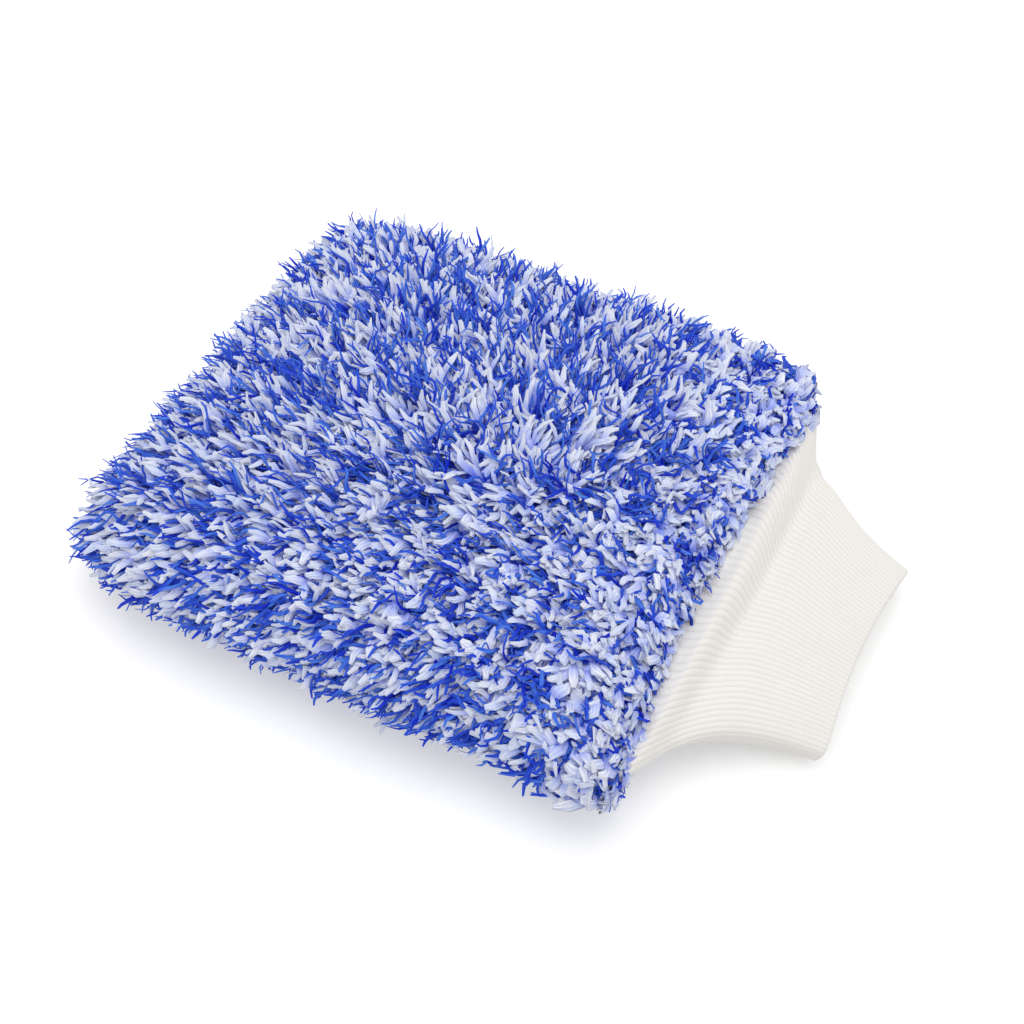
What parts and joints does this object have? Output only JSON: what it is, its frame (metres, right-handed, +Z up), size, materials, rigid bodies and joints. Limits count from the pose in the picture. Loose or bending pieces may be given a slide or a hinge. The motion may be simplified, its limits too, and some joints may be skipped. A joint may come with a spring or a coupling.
{
  "type": "plush wash mitt",
  "caption": "Flat plush wash mitt for the hand: long pile on both faces over a sewn bag with a lining, and a ribbed wrist cuff that folds at its seam.",
  "frame": {"origin": "middle of the footprint, on the surface that the mitt lies on", "axes": "+X from the finger end to the wrist, +Y across the hand, +Z up from the palm face to the back"},
  "size_m": [0.2666, 0.2, 0.0514],
  "materials": {
    "pile": "soft blue and white yarn pile, fully matte",
    "ground_knit": "knitted backing of the pile, matte",
    "lining": "thin smooth lining cloth",
    "thread": "spun polyester overlock thread",
    "rib_knit": "off-white rib knit, doubled, matte"
  },
  "bodies": {
    "mitt_body": {"upper_pile": "pile", "lower_pile": "pile", "upper_ground_knit": "ground_knit", "lower_ground_knit": "ground_knit", "upper_lining": "lining", "lower_lining": "lining", "shell_seam_overlock": "thread", "lining_seam_overlock": "thread"},
    "cuff": {"rib_cuff": "rib_knit", "cuff_seam_overlock": "thread"}
  },
  "joints": [
    {"name": "cuff_fold", "type": "hinge", "parent": "mitt_body", "child": "cuff", "pos_m": [0.07575, 0, 0.02231], "axis": [0, -1, 0], "range_deg": [-20, 45]}
  ]
}
